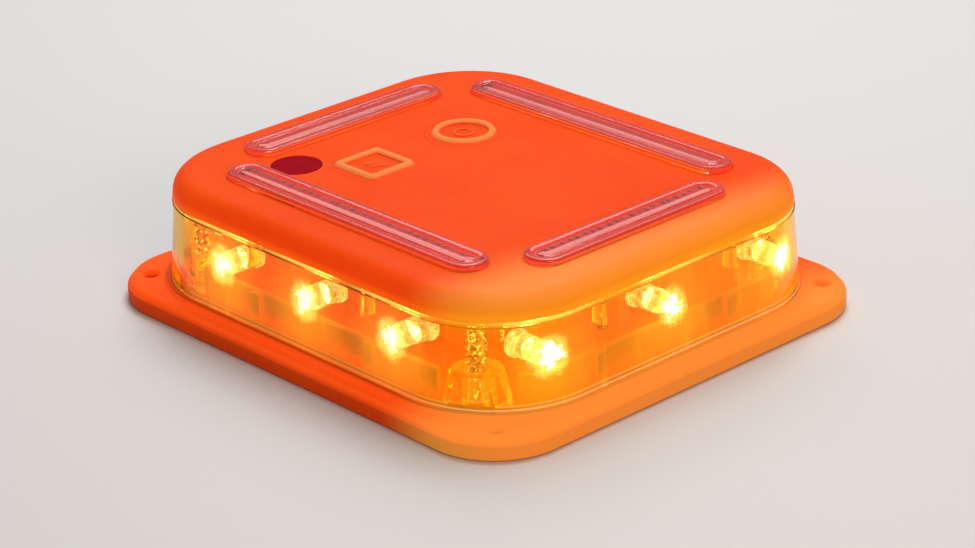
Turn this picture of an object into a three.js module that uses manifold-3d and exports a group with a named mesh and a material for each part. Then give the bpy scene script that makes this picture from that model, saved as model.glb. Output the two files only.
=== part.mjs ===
// LED hazard flare: a low rectangular beacon that lies on the road or hangs from a barrier board.
// An orange tray with a drilled flange carries a clear amber lens ring, and a soft orange cap closes it.
// Twelve LEDs look out through the lens, four clear bars let light out of the top, and two buttons work it.
// Millimetres, +Z up. X runs along the long side. The origin is on the ground, centred on the footprint.
import * as THREE from "three";
import { mergeVertices } from "three/addons/utils/BufferGeometryUtils.js";
import Module from "manifold-3d";

const wasm = await Module();
wasm.setup();

// ---------------------------------------------------------------- driving dimensions
const LENGTH = 120; // flange, along X
const WIDTH = 107; // flange, along Y
const CAP_TOP = 28.0;
const CORNER_STEPS = 6; // segments in each rounded corner
const ROUND_SIDES = 16; // sides of a plain cylinder
const GAP = 0.3; // clearance between pieces that are fitted together

// outlines are rounded rectangles: half length, half width, corner radius
const FLANGE = { x: LENGTH / 2, y: WIDTH / 2, r: 15.5 };
const LENS_FOOT = { x: 55.5, y: 49.0, r: 22.9 };
const LENS_HEAD = { x: 54.0, y: 47.5, r: 21.7 };
const CAP_RIM = { x: 54.3, y: 47.8, r: 22.0 };

// levels, from the ground up
const FLOOR_TOP = 2.2;
const FLANGE_TOP = 4.4;
const LIP_TOP = FLANGE_TOP + 1.0;
const GROOVE_BOTTOM = FLANGE_TOP - 1.2;
const LENS_BOTTOM = GROOVE_BOTTOM + 1.1;
const LENS_TOP = 22.8;
const CAP_BOTTOM = 23.0;
const CAP_CEILING = CAP_TOP - 2.4;
const SKIRT_BOTTOM = CAP_BOTTOM - 1.7;
const BOARD_BOTTOM = 18.6;
const BOARD_TOP = BOARD_BOTTOM + 1.6;
const INNER_WALL_TOP = 10.6;

// walls and corner fixings
const LENS_WALL = 2.2;
const RIB_AT = { x: 17, y: 18 }; // ribs on the long and short walls, from the middle
const SCREW = { x: 41.0, y: 39.5 };
const SCREW_HOLE = 2.4;
const LENS_BOSS_TOP = 11.3;
const FIXING_HOLE = { x: LENGTH / 2 - 8, y: WIDTH / 2 - 8, radius: 1.6, mouth: 2.2 };
const CORNERS = [
  [-1, -1],
  [1, -1],
  [1, 1],
  [-1, 1],
];

// LEDs
const LED_LEVEL = 14.5;
const LED_LENGTH = 8.6;
const LED_FRONT_PLANE = { x: 51.2, y: 45.7 };
const LED_PITCH = { alongX: 25.4, alongY: 31.4 };

// top windows and controls
const BAR = { radius: 4.25, long: 32.4, short: 21.6, atY: 33.6, atX: 41.5, proud: 1.3 };
const POWER_BUTTON = { x: -18.0, y: 12.4, radius: 6.5 };
const MODE_BUTTON = { x: -18.0, y: -12.4, half: 5.9 };
const SENSOR = { x: -29.8, y: -23.2, radius: 5.35 };
const RIM_HEIGHT = 0.9;
const RIM_WIDTH = 1.2;
const BUTTON_GAP = 0.4;
const BUTTON_BOTTOM = 24.8;
const PLUNGER_GAP = 0.35; // free travel before a button meets its switch

// battery bay under the board, for two AA cells lying along X
const CELL = { radius: 7.25, length: 50.5, nub: 1.2, spacing: 14.8, level: 9.35 };
const BAY = { x: 29.5, y: 15.0, wall: 1.6, ceiling: 16.8 };
const DOOR = { x: 37.0, y: 19.8, r: 3.0 };
const DOOR_SCREW_X = 33.4;
const BOARD_POST = { x: 38.5, y: 25.0, radius: 2.6 };

// ---------------------------------------------------------------- solids
function solidOf(geometry) {
  const bare = geometry.index ? geometry.toNonIndexed() : geometry.clone();
  bare.deleteAttribute("normal");
  bare.deleteAttribute("uv");
  const merged = mergeVertices(bare, 1e-4);
  const corners = merged.index.array;
  const kept = [];
  for (let i = 0; i < corners.length; i += 3) {
    const [a, b, c] = [corners[i], corners[i + 1], corners[i + 2]];
    if (a !== b && b !== c && a !== c) kept.push(a, b, c);
  }
  return new wasm.Manifold(
    new wasm.Mesh({
      numProp: 3,
      vertProperties: new Float32Array(merged.attributes.position.array),
      triVerts: new Uint32Array(kept),
    }),
  );
}

function geometryOf(solid) {
  const mesh = solid.getMesh();
  const points = new Float32Array(mesh.numVert * 3);
  for (let i = 0; i < mesh.numVert; i++) {
    points.set(mesh.vertProperties.subarray(i * mesh.numProp, i * mesh.numProp + 3), i * 3);
  }
  const geometry = new THREE.BufferGeometry();
  geometry.setAttribute("position", new THREE.BufferAttribute(points, 3));
  geometry.setIndex(new THREE.BufferAttribute(new Uint32Array(mesh.triVerts), 1));
  const flat = geometry.toNonIndexed();
  flat.computeVertexNormals();
  return flat;
}

const join = (first, ...others) => others.reduce((whole, other) => whole.add(other), first);
const cut = (first, ...others) => others.reduce((whole, other) => whole.subtract(other), first);

// The points of a rounded rectangle, anticlockwise.
function outline({ x, y, r }, steps = CORNER_STEPS) {
  const points = [];
  const centres = [
    [x - r, y - r],
    [r - x, y - r],
    [r - x, r - y],
    [x - r, r - y],
  ];
  centres.forEach(([cx, cy], corner) => {
    for (let i = 0; i <= steps; i++) {
      const angle = (Math.PI / 2) * (corner + i / steps);
      points.push([cx + r * Math.cos(angle), cy + r * Math.sin(angle)]);
    }
  });
  return points;
}

const inset = ({ x, y, r }, by) => ({ x: x - by, y: y - by, r: Math.max(r - by, 0.4) });
const mirrored = ({ x, y }) => CORNERS.map(([sx, sy]) => ({ x: sx * x, y: sy * y }));

// A closed body through rounded rectangles stacked along Z, each given as [level, outline].
function stack(sections, { x = 0, y = 0, steps = CORNER_STEPS } = {}) {
  const rings = sections.map(([z, shape]) => outline(shape, steps).map(([px, py]) => [px + x, py + y, z]));
  const count = rings[0].length;
  const index = [];
  for (let k = 0; k + 1 < rings.length; k++) {
    for (let i = 0; i < count; i++) {
      const next = (i + 1) % count;
      const [a, b, c, d] = [k * count + i, k * count + next, (k + 1) * count + i, (k + 1) * count + next];
      index.push(a, b, d, a, d, c);
    }
  }
  const last = (rings.length - 1) * count;
  for (let i = 1; i + 1 < count; i++) {
    index.push(0, i + 1, i);
    index.push(last, last + i, last + i + 1);
  }
  const geometry = new THREE.BufferGeometry();
  geometry.setAttribute("position", new THREE.Float32BufferAttribute(rings.flat(2), 3));
  geometry.setIndex(index);
  return solidOf(geometry);
}

// A plain slab of a rounded rectangle between two levels.
function slab(shape, low, high, at = {}) {
  return stack([[low, shape], [high, shape]], at);
}

function block(width, depth, low, high, { x = 0, y = 0 } = {}) {
  const geometry = new THREE.BoxGeometry(width, depth, high - low);
  geometry.translate(x, y, (low + high) / 2);
  return solidOf(geometry);
}

// An upright cylinder or cone.
function post(radius, low, high, { x = 0, y = 0 } = {}, { sides = ROUND_SIDES, topRadius = radius } = {}) {
  const geometry = new THREE.CylinderGeometry(topRadius, radius, high - low, sides);
  geometry.rotateX(Math.PI / 2);
  geometry.translate(x, y, (low + high) / 2);
  return solidOf(geometry);
}

// A turned piece about Z, from a profile of [radius, height] that starts and ends on the axis.
function turned(profile, sides = ROUND_SIDES) {
  const geometry = new THREE.LatheGeometry(profile.map(([r, h]) => new THREE.Vector2(r, h)), sides);
  geometry.rotateX(Math.PI / 2);
  return solidOf(geometry);
}

// Eight upright blocks, two on each wall, so wide along the wall and so deep across it.
function wallBlocks({ x, y }, wide, deep, low, high) {
  return [-1, 1].flatMap((side) => [
    ...[-RIB_AT.x, RIB_AT.x].map((at) => block(wide, deep, low, high, { x: at, y: side * y })),
    ...[-RIB_AT.y, RIB_AT.y].map((at) => block(deep, wide, low, high, { x: side * x, y: at })),
  ]);
}

function ring(shape, width, low, high) {
  return cut(slab(shape, low, high), slab(inset(shape, width), low - 1, high + 1));
}

// A slot shape with round ends: half the distance between its end centres, along X or Y.
function slot(half, radius, along) {
  const r = radius - 0.02;
  return along === "x" ? { x: half + radius, y: radius, r } : { x: radius, y: half + radius, r };
}

// ---------------------------------------------------------------- shells
function trayBody() {
  const edge = 1.1;
  const flange = stack([
    [0, inset(FLANGE, 0.7)],
    [0.7, FLANGE],
    [FLANGE_TOP - edge, FLANGE],
    [FLANGE_TOP - edge * 0.3, inset(FLANGE, edge * 0.3)],
    [FLANGE_TOP, inset(FLANGE, edge)],
  ]);
  const lip = slab(inset(LENS_FOOT, -1.5), FLANGE_TOP - 1, LIP_TOP);
  const pocket = slab(inset(LENS_FOOT, LENS_WALL + 1.4), FLOOR_TOP, LIP_TOP + 1);
  return cut(join(flange, lip), pocket);
}

// The channel that the foot of the lens and its gasket stand in.
function lensGroove() {
  return ring(inset(LENS_FOOT, -GAP), LENS_WALL + 2 * GAP, GROOVE_BOTTOM, LIP_TOP + 1);
}

// The low wall that stands inside the lens and the ribs that brace it.
function innerWall() {
  const wall = inset(LENS_FOOT, LENS_WALL + 2.9);
  const low = FLOOR_TOP - 0.5;
  const fence = cut(
    ring(wall, 1.6, low, INNER_WALL_TOP),
    ...mirrored(SCREW).map((at) => post(7.6, FLOOR_TOP, INNER_WALL_TOP + 1, at)),
  );
  return join(fence, ...wallBlocks(inset(wall, -0.3), 2.6, 1.6, low, INNER_WALL_TOP));
}

function batteryBox() {
  const shell = { x: BAY.x + BAY.wall, y: BAY.y + BAY.wall, r: 2 };
  const ledge = slab({ x: DOOR.x + 2.2, y: DOOR.y + 2.2, r: 5 }, FLOOR_TOP - 0.4, FLOOR_TOP + 1.8);
  const box = slab(shell, FLOOR_TOP - 0.4, BAY.ceiling + 1.2);
  const bosses = [-1, 1].map((side) => post(2.3, FLOOR_TOP, 10, { x: side * DOOR_SCREW_X }));
  return join(ledge, box, ...bosses);
}

function makeTray() {
  const screwPads = mirrored(SCREW).map((at) => post(6.6, FLOOR_TOP - 0.4, LENS_BOTTOM - GAP, at));
  const boardPosts = mirrored(BOARD_POST).map((at) =>
    post(BOARD_POST.radius, FLOOR_TOP - 0.4, BOARD_BOTTOM - 0.1, at),
  );
  const whole = join(trayBody(), innerWall(), batteryBox(), ...screwPads, ...boardPosts);
  const bayHollow = slab({ x: BAY.x, y: BAY.y, r: 1 }, -1, BAY.ceiling);
  const doorRecess = slab({ x: DOOR.x + GAP, y: DOOR.y + GAP, r: DOOR.r }, -1, 2);
  const tabSlots = [-1, 1].map((side) =>
    block(1.2, 4.2, BAY.ceiling - 1, BAY.ceiling + 3, { x: BAY.x - 1.0, y: (side * CELL.spacing) / 2 }),
  );
  const drillings = [
    ...mirrored(SCREW).flatMap((at) => [
      post(6.9, LENS_BOTTOM - GAP, LIP_TOP + 1, at),
      post(4.0, -1, 2.1, at),
      post(SCREW_HOLE, 0, LENS_BOTTOM + 1, at),
    ]),
    ...mirrored(FIXING_HOLE).flatMap((at) => [
      post(FIXING_HOLE.radius, -1, FLANGE_TOP + 1, at),
      post(FIXING_HOLE.radius, FLANGE_TOP - 0.6, FLANGE_TOP + 0.2, at, { topRadius: FIXING_HOLE.mouth }),
    ]),
    ...mirrored(BOARD_POST).map((at) => post(1.25, 11, BOARD_BOTTOM + 1, at)),
    ...[-1, 1].map((side) => post(1.3, 0, 9, { x: side * DOOR_SCREW_X })),
  ];
  return cut(whole, lensGroove(), bayHollow, doorRecess, ...tabSlots, ...drillings);
}

function makeLens() {
  const outer = stack([[LENS_BOTTOM, LENS_FOOT], [LIP_TOP, LENS_FOOT], [LENS_TOP, LENS_HEAD]]);
  const inner = stack([
    [LENS_BOTTOM - 1, inset(LENS_FOOT, LENS_WALL)],
    [LIP_TOP, inset(LENS_FOOT, LENS_WALL)],
    [LENS_TOP + 0.001, inset(LENS_HEAD, LENS_WALL)],
    [LENS_TOP + 1, inset(LENS_HEAD, LENS_WALL)],
  ]);
  const bosses = mirrored(SCREW).map((at) => post(6.5, LENS_BOTTOM, LENS_BOSS_TOP, at, { topRadius: 5.0 }));
  const ribs = wallBlocks(inset(LENS_HEAD, LENS_WALL + 0.6), 1.1, 3.4, 16.4, LENS_TOP);
  const holes = mirrored(SCREW).map((at) => post(SCREW_HOLE, LENS_BOTTOM - 1, LENS_BOSS_TOP + 1, at));
  return cut(join(cut(outer, inner), ...bosses, ...ribs), ...holes);
}

function makeCap() {
  const shoulder = 3.5; // radius of the rounded top edge
  const side = inset(CAP_RIM, 0.5);
  const arc = [0, 0.25, 0.5, 0.75, 1].map((t) => {
    const [rise, run] = [Math.sin((Math.PI / 2) * t), 1 - Math.cos((Math.PI / 2) * t)];
    return [CAP_TOP - shoulder * (1 - rise), inset(side, shoulder * run)];
  });
  const cavity = inset(CAP_RIM, 4.5);
  const skirt = inset(LENS_HEAD, LENS_WALL + 0.4);
  const rim = stack([[CAP_BOTTOM, CAP_RIM], ...arc]);
  const tongue = slab(skirt, SKIRT_BOTTOM, CAP_BOTTOM + 0.5);
  const hollow = slab(cavity, SKIRT_BOTTOM - 1, CAP_CEILING);
  const bosses = mirrored(SCREW).map((at) => post(4.5, BOARD_TOP + 0.3, CAP_CEILING + 0.5, at));
  const trimmed = join(...bosses).intersect(slab(skirt, BOARD_BOTTOM, CAP_TOP));
  const gasketGroove = ring(inset(CAP_RIM, 1.0), 1.2, CAP_BOTTOM - 1, CAP_BOTTOM + 0.8);
  const ribSlots = wallBlocks(inset(skirt, 0.7), 1.9, 5.4, SKIRT_BOTTOM - 1, CAP_BOTTOM);
  const barSlots = barPlaces.map(({ shape, at }) =>
    slab(inset(shape, -0.1), CAP_CEILING - 1, CAP_TOP + 1, { ...at, steps: 4 }),
  );
  const openings = [
    post(POWER_BUTTON.radius + BUTTON_GAP, CAP_CEILING - 1, CAP_TOP + 1, POWER_BUTTON),
    slab(buttonShape(BUTTON_GAP), CAP_CEILING - 1, CAP_TOP + 1, MODE_BUTTON),
    post(SENSOR.radius, CAP_TOP - 1.2, CAP_TOP + 1, SENSOR),
    post(SENSOR.radius - 1, CAP_CEILING - 1, CAP_TOP, SENSOR),
  ];
  const screwHoles = mirrored(SCREW).map((at) => post(2.2, BOARD_TOP, CAP_CEILING - 0.6, at));
  const shell = join(cut(join(rim, tongue), hollow), trimmed);
  return cut(shell, gasketGroove, ...ribSlots, ...barSlots, ...openings, ...screwHoles);
}

function makeDoor() {
  const cover = slab({ x: DOOR.x, y: DOOR.y, r: DOOR.r - 0.3 }, 0.1, 1.5);
  const plug = slab({ x: BAY.x - 0.6, y: BAY.y - 0.6, r: 1 }, 1, 1.9);
  const holes = [-1, 1].flatMap((side) => [
    post(1.5, -1, 2, { x: side * DOOR_SCREW_X }),
    post(2.7, -1, 0.8, { x: side * DOOR_SCREW_X }),
  ]);
  return cut(join(cover, plug), ...holes);
}

// ---------------------------------------------------------------- top windows and controls
function makeBar(shape, at) {
  const top = CAP_TOP + BAR.proud;
  const window = stack([
    [CAP_CEILING - 0.5, shape],
    [top - 0.5, shape],
    [top - 0.1, inset(shape, 0.25)],
    [top, inset(shape, 0.7)],
  ], { ...at, steps: 4 });
  const flange = slab(inset(shape, -1.1), CAP_CEILING - 1.2, CAP_CEILING - 0.1, { ...at, steps: 4 });
  return join(window, flange);
}

function buttonShape(extra) {
  return { x: MODE_BUTTON.half + extra, y: MODE_BUTTON.half + extra, r: 1.2 + extra };
}

function makePowerButton() {
  const { radius } = POWER_BUTTON;
  return turned([
    [0, BUTTON_BOTTOM],
    [radius + 1.4, BUTTON_BOTTOM],
    [radius + 1.4, BUTTON_BOTTOM + 0.6],
    [radius, BUTTON_BOTTOM + 0.6],
    [radius, CAP_TOP + RIM_HEIGHT - 0.3],
    [radius - 0.3, CAP_TOP + RIM_HEIGHT],
    [radius - RIM_WIDTH, CAP_TOP + RIM_HEIGHT],
    [radius - RIM_WIDTH, CAP_TOP],
    [0, CAP_TOP],
  ], 24);
}

function makeModeButton() {
  const flange = slab(buttonShape(1.4), BUTTON_BOTTOM, BUTTON_BOTTOM + 0.6);
  const body = stack([
    [BUTTON_BOTTOM, buttonShape(0)],
    [CAP_TOP + RIM_HEIGHT - 0.3, buttonShape(0)],
    [CAP_TOP + RIM_HEIGHT, buttonShape(-0.3)],
  ]);
  const well = slab(buttonShape(-RIM_WIDTH), CAP_TOP, CAP_TOP + 2);
  return cut(join(flange, body), well);
}

// ---------------------------------------------------------------- electronics
function makeBoard() {
  const sheet = slab({ x: 46.5, y: 40.5, r: 14 }, BOARD_BOTTOM, BOARD_TOP);
  const notches = mirrored(SCREW).map((at) => post(3.4, BOARD_BOTTOM - 1, BOARD_TOP + 1, at));
  const holes = mirrored(BOARD_POST).map((at) => post(1.5, BOARD_BOTTOM - 1, BOARD_TOP + 1, at));
  return cut(sheet, ...notches, ...holes);
}

// A 5 mm LED that looks along +X, with its back at the origin and its legs bent up to the board.
function makeLed() {
  const radius = 2.5;
  const slant = radius * Math.SQRT1_2;
  const profile = [
    [0, 0],
    [radius + 0.4, 0],
    [radius + 0.4, 1],
    [radius, 1],
    [radius, LED_LENGTH - radius],
    [slant, LED_LENGTH - radius + slant],
    [0, LED_LENGTH],
  ];
  const body = new THREE.LatheGeometry(profile.map(([r, h]) => new THREE.Vector2(r, h)), 10);
  body.rotateZ(-Math.PI / 2);
  const legTop = BOARD_BOTTOM - LED_LEVEL - GAP;
  const legs = [-1.27, 1.27].flatMap((y) => [
    block(2.3, 0.5, -0.25, 0.25, { x: -0.95, y }),
    block(0.5, 0.5, -0.25, legTop, { x: -1.85, y }),
  ]);
  return join(solidOf(body), ...legs);
}

function makeStrip(half, along) {
  const size = along === "x" ? [2 * half, 3.6] : [3.6, 2 * half];
  const emitters = [-1, 0, 1].map((k) => {
    const shift = k * half * 0.62;
    const at = along === "x" ? { x: shift, y: 0 } : { x: 0, y: shift };
    return block(2.8, 2.8, BOARD_TOP + 0.6, BOARD_TOP + 2.2, at);
  });
  return join(block(...size, BOARD_TOP + 0.1, BOARD_TOP + 0.8), ...emitters);
}

function makeSwitch() {
  const body = block(6, 6, BOARD_TOP + 0.1, BOARD_TOP + 3.5);
  return cut(body, post(1.95, BOARD_TOP + 1.7, BOARD_TOP + 5, {}, { sides: 12 }));
}

function makePlunger() {
  return post(1.7, BOARD_TOP + 2.6, BUTTON_BOTTOM - PLUNGER_GAP, {}, { sides: 12 });
}

// ---------------------------------------------------------------- fasteners, cells and contacts
// A thread-forming screw standing on its head, its thread a row of saw-tooth ridges.
function makeScrew({ headRadius, headHeight, radius, length, threadFrom, ridges }) {
  const core = radius * 0.74;
  const tip = length - 0.8;
  const pitch = (tip - threadFrom) / ridges;
  const profile = [[0, 0], [headRadius, 0], [headRadius, headHeight], [core, headHeight]];
  for (let i = 0; i < ridges; i++) {
    const z = threadFrom + i * pitch;
    profile.push([core, z], [radius, z + pitch / 2]);
  }
  profile.push([core, tip], [core / 2, length], [0, length]);
  const [reach, depth] = [headRadius * 0.42, headHeight * 0.6];
  return cut(turned(profile, 8), turned([[0, -1], [reach, -1], [reach, depth], [0, depth]], 6));
}

// A cell lying along X, with its centre at the origin and its nub towards +X.
function makeCell() {
  const half = CELL.length / 2;
  const profile = [
    [0, -half],
    [CELL.radius - 1.2, -half],
    [CELL.radius, -half + 0.6],
    [CELL.radius, half - CELL.nub - 0.5],
    [CELL.radius - 0.6, half - CELL.nub],
    [2.75, half - CELL.nub],
    [2.6, half],
    [0, half],
  ];
  const geometry = new THREE.LatheGeometry(profile.map(([r, h]) => new THREE.Vector2(r, h)), 16);
  geometry.rotateZ(-Math.PI / 2);
  return solidOf(geometry);
}

// A conical contact spring along +X, its wide end on a plate at x = 0.
class SpringPath extends THREE.Curve {
  getPoint(t, target = new THREE.Vector3()) {
    const turns = 3.25;
    const angle = 2 * Math.PI * turns * t;
    const radius = 4.4 - 1.9 * t;
    return target.set(0.4 + 5.05 * t, radius * Math.cos(angle), radius * Math.sin(angle));
  }
}

function makeSpring() {
  const wire = new THREE.Shape();
  wire.absarc(0, 0, 0.35, 0, 2 * Math.PI, false);
  const sweep = { steps: 28, curveSegments: 4, bevelEnabled: false, extrudePath: new SpringPath() };
  return solidOf(new THREE.ExtrudeGeometry(wire, sweep));
}

function contactPlate(width, { tab = false } = {}) {
  const plate = new THREE.BoxGeometry(0.5, width, 11);
  const parts = [solidOf(plate)];
  if (tab) {
    const strip = new THREE.BoxGeometry(0.5, 2.6, 5);
    strip.translate(0, 0, BOARD_BOTTOM - GAP - CELL.level - 2.5);
    parts.push(solidOf(strip));
  }
  return join(...parts);
}

function shifted(solid, x, y) {
  return solidOf(geometryOf(solid).translate(x, y, 0));
}

// ---------------------------------------------------------------- places of what repeats
const barPlaces = [
  { name: "light_bar_front", half: BAR.long, along: "x", at: { x: 0, y: -BAR.atY } },
  { name: "light_bar_rear", half: BAR.long, along: "x", at: { x: 0, y: BAR.atY } },
  { name: "light_bar_left", half: BAR.short, along: "y", at: { x: -BAR.atX, y: 0 } },
  { name: "light_bar_right", half: BAR.short, along: "y", at: { x: BAR.atX, y: 0 } },
].map((place) => ({ ...place, shape: slot(place.half, BAR.radius, place.along) }));

const ledRows = [
  { side: "front", turn: -Math.PI / 2, plane: LED_FRONT_PLANE.y, pitch: LED_PITCH.alongX },
  { side: "right", turn: 0, plane: LED_FRONT_PLANE.x, pitch: LED_PITCH.alongY },
  { side: "rear", turn: Math.PI / 2, plane: LED_FRONT_PLANE.y, pitch: LED_PITCH.alongX },
  { side: "left", turn: Math.PI, plane: LED_FRONT_PLANE.x, pitch: LED_PITCH.alongY },
];

// ---------------------------------------------------------------- materials
const finish = (color, roughness, metalness = 0, extra = {}) =>
  new THREE.MeshStandardMaterial({ color, roughness, metalness, ...extra });
const clear = { transparent: true, opacity: 0.45 };
const ORANGE = finish(0xf2501e, 0.5);
const AMBER = finish(0xff9a1a, 0.08, 0, clear);
const CRYSTAL = finish(0xf3dfe0, 0.06, 0, clear);
const BURGUNDY = finish(0x7c0a22, 0.25);
const RUBBER = finish(0xc0641f, 0.7);
const BOARD = finish(0xece8dc, 0.45);
const LED = finish(0xffd34a, 0.12, 0, clear);
const STEEL = finish(0xb9b9bd, 0.3, 1);
const PLASTIC = finish(0x202024, 0.5);
const CELL_JACKET = finish(0x2f6f9c, 0.35);

// ---------------------------------------------------------------- assembly
const flare = new THREE.Group();
flare.name = "hazard_flare";

function add(name, solid, material, parent = flare) {
  const mesh = new THREE.Mesh(geometryOf(solid), material);
  mesh.name = name;
  parent.add(mesh);
  return mesh;
}

add("base_tray", makeTray(), ORANGE);
add("lens_ring", makeLens(), AMBER);
add("top_cap", makeCap(), ORANGE);
add("battery_door", makeDoor(), ORANGE);
add("lower_gasket", ring(inset(LENS_FOOT, 0.3), 1.6, GROOVE_BOTTOM + 0.1, LENS_BOTTOM - 0.1), RUBBER);
add("upper_gasket", ring(inset(CAP_RIM, 1.1), 1.0, LENS_TOP + 0.05, CAP_BOTTOM + 0.7), RUBBER);
add("battery_door_seal", ring(inset({ ...BAY, r: 0.2 }, -1.8), 1.2, 1.55, 1.95), RUBBER);

for (const { name, shape, at } of barPlaces) add(name, makeBar(shape, at), CRYSTAL);
add("sensor_window", post(SENSOR.radius - 0.1, CAP_TOP - 1.15, CAP_TOP, SENSOR), BURGUNDY);
add("power_button", makePowerButton(), ORANGE).position.set(POWER_BUTTON.x, POWER_BUTTON.y, 0);
add("mode_button", makeModeButton(), ORANGE).position.set(MODE_BUTTON.x, MODE_BUTTON.y, 0);

add("main_board", makeBoard(), BOARD);
for (const { name, half, along, at } of barPlaces) {
  const strip = add(name.replace("light_bar", "light_strip"), makeStrip(half - 3, along), BOARD);
  strip.position.set(at.x, at.y, 0);
}
for (const [name, at] of [["power_switch", POWER_BUTTON], ["mode_switch", MODE_BUTTON]]) {
  add(name, makeSwitch(), PLASTIC).position.set(at.x, at.y, 0);
  add(`${name}_plunger`, makePlunger(), PLASTIC).position.set(at.x, at.y, 0);
}
add("light_sensor", block(5, 4, BOARD_TOP + 0.1, BOARD_TOP + 2.6, SENSOR), PLASTIC);
add("controller_chip", block(10, 10, BOARD_TOP + 0.1, BOARD_TOP + 1.4, { x: 8, y: -10 }), PLASTIC);
const coil = { x: 4, y: 4, r: 1.2 };
add("power_inductor", slab(coil, BOARD_TOP + 0.1, BOARD_TOP + 4, { x: 20, y: 10 }), PLASTIC);
add("reservoir_capacitor", post(3.2, BOARD_TOP + 0.1, BOARD_TOP + 5.1, { x: 4, y: 16 }), STEEL);

const led = makeLed();
for (const { side, turn, plane, pitch } of ledRows) {
  const row = new THREE.Group();
  row.rotation.z = turn;
  flare.add(row);
  [-1, 0, 1].forEach((k, i) => {
    add(`led_${side}_${i + 1}`, led, LED, row).position.set(plane - LED_LENGTH, k * pitch, LED_LEVEL);
  });
}

const caseScrew = makeScrew({
  headRadius: 3.6, headHeight: 1.7, radius: 2.1, length: 24.3, threadFrom: 9.8, ridges: 7,
});
const boardScrew = makeScrew({
  headRadius: 2.3, headHeight: 1.4, radius: 1.2, length: 8.5, threadFrom: 4.0, ridges: 3,
});
const doorScrew = makeScrew({
  headRadius: 2.3, headHeight: 0.7, radius: 1.2, length: 7.5, threadFrom: 3.0, ridges: 3,
});
mirrored(SCREW).forEach(({ x, y }, i) => {
  add(`case_screw_${i + 1}`, caseScrew, STEEL).position.set(x, y, 0.35);
});
mirrored(BOARD_POST).forEach(({ x, y }, i) => {
  const screw = add(`board_screw_${i + 1}`, boardScrew, STEEL);
  screw.rotation.x = Math.PI;
  screw.position.set(x, y, BOARD_TOP + 1.7);
});
[-1, 1].forEach((side, i) => {
  add(`door_screw_${i + 1}`, doorScrew, STEEL).position.set(side * DOOR_SCREW_X, 0, 0.05);
});

const cell = makeCell();
const cellShift = 2.75; // each cell sits off centre, towards its nub
[1, -1].forEach((side, i) => {
  const mesh = add(`battery_cell_${i + 1}`, cell, CELL_JACKET);
  mesh.rotation.z = side > 0 ? 0 : Math.PI;
  mesh.position.set(side * cellShift, (side * CELL.spacing) / 2, CELL.level);
});
const plateX = BAY.x - 0.9;
const spring = makeSpring();
const half = CELL.spacing / 2;
add("contact_positive", contactPlate(11, { tab: true }), STEEL).position.set(plateX, half, CELL.level);
const negative = add("contact_negative", join(contactPlate(11, { tab: true }), spring), STEEL);
negative.rotation.z = Math.PI;
negative.position.set(plateX, -half, CELL.level);
const link = join(contactPlate(2 * half + 11), shifted(spring, 0, half));
add("contact_link", link, STEEL).position.set(-plateX, 0, CELL.level);

export default flare;
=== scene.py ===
"""Looks for the LED hazard flare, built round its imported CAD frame.

Shapes are in millimetres until mm() turns them into metres, and lights and the camera are in metres.
Shells are grown from rings of points, one ring per level.
"""
import math

import bmesh
import bpy
from mathutils import Matrix, Vector
from mathutils.geometry import delaunay_2d_cdt


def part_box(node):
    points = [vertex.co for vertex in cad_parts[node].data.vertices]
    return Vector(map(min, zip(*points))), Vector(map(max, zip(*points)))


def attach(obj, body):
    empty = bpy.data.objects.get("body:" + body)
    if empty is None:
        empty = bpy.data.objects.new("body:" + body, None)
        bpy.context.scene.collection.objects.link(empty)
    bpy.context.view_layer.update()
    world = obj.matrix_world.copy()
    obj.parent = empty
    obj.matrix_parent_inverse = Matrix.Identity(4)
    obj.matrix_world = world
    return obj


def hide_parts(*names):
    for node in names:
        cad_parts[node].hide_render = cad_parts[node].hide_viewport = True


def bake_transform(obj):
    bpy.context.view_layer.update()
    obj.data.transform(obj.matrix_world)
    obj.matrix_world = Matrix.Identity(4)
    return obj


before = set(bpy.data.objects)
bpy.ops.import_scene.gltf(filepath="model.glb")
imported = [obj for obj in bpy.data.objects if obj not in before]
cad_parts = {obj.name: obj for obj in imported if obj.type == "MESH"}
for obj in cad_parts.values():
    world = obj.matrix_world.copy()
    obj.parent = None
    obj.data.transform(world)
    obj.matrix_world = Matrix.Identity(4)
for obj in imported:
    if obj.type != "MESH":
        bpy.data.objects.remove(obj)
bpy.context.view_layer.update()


# ------------------------------------------------------------------ sizes
def mm(*values):
    """A vector in metres from lengths in millimetres."""
    return Vector([v / 1000 for v in values])


def box_mm(node):
    """Centre and half sizes of a CAD node, in millimetres."""
    low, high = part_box(node)
    return (low + high) * 500, (high - low) * 500


def levels(node):
    """Lowest and highest level of a CAD node, in millimetres."""
    low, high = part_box(node)
    return low.z * 1000, high.z * 1000


TRAY_HALF = box_mm("base_tray")[1]
LENS_HALF = box_mm("lens_ring")[1]
CAP_HALF = box_mm("top_cap")[1]
POWER_AT = box_mm("power_button")[0]
MODE_AT = box_mm("mode_button")[0]
SENSOR_AT, SENSOR_HALF = box_mm("sensor_window")
LENS_LOW, LENS_HIGH = levels("lens_ring")
CAP_SKIRT, CAP_TOP = levels("top_cap")
BAR_TOP = levels("light_bar_front")[1]
BUTTON_LOW, BUTTON_TOP = levels("power_button")
BARS = ["light_bar_front", "light_bar_rear", "light_bar_left", "light_bar_right"]
LED_HEADINGS = {"front": (0, -1), "right": (1, 0), "rear": (0, 1), "left": (-1, 0)}
LED_NODES = [f"led_{side}_{i}" for side in LED_HEADINGS for i in (1, 2, 3)]

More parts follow.
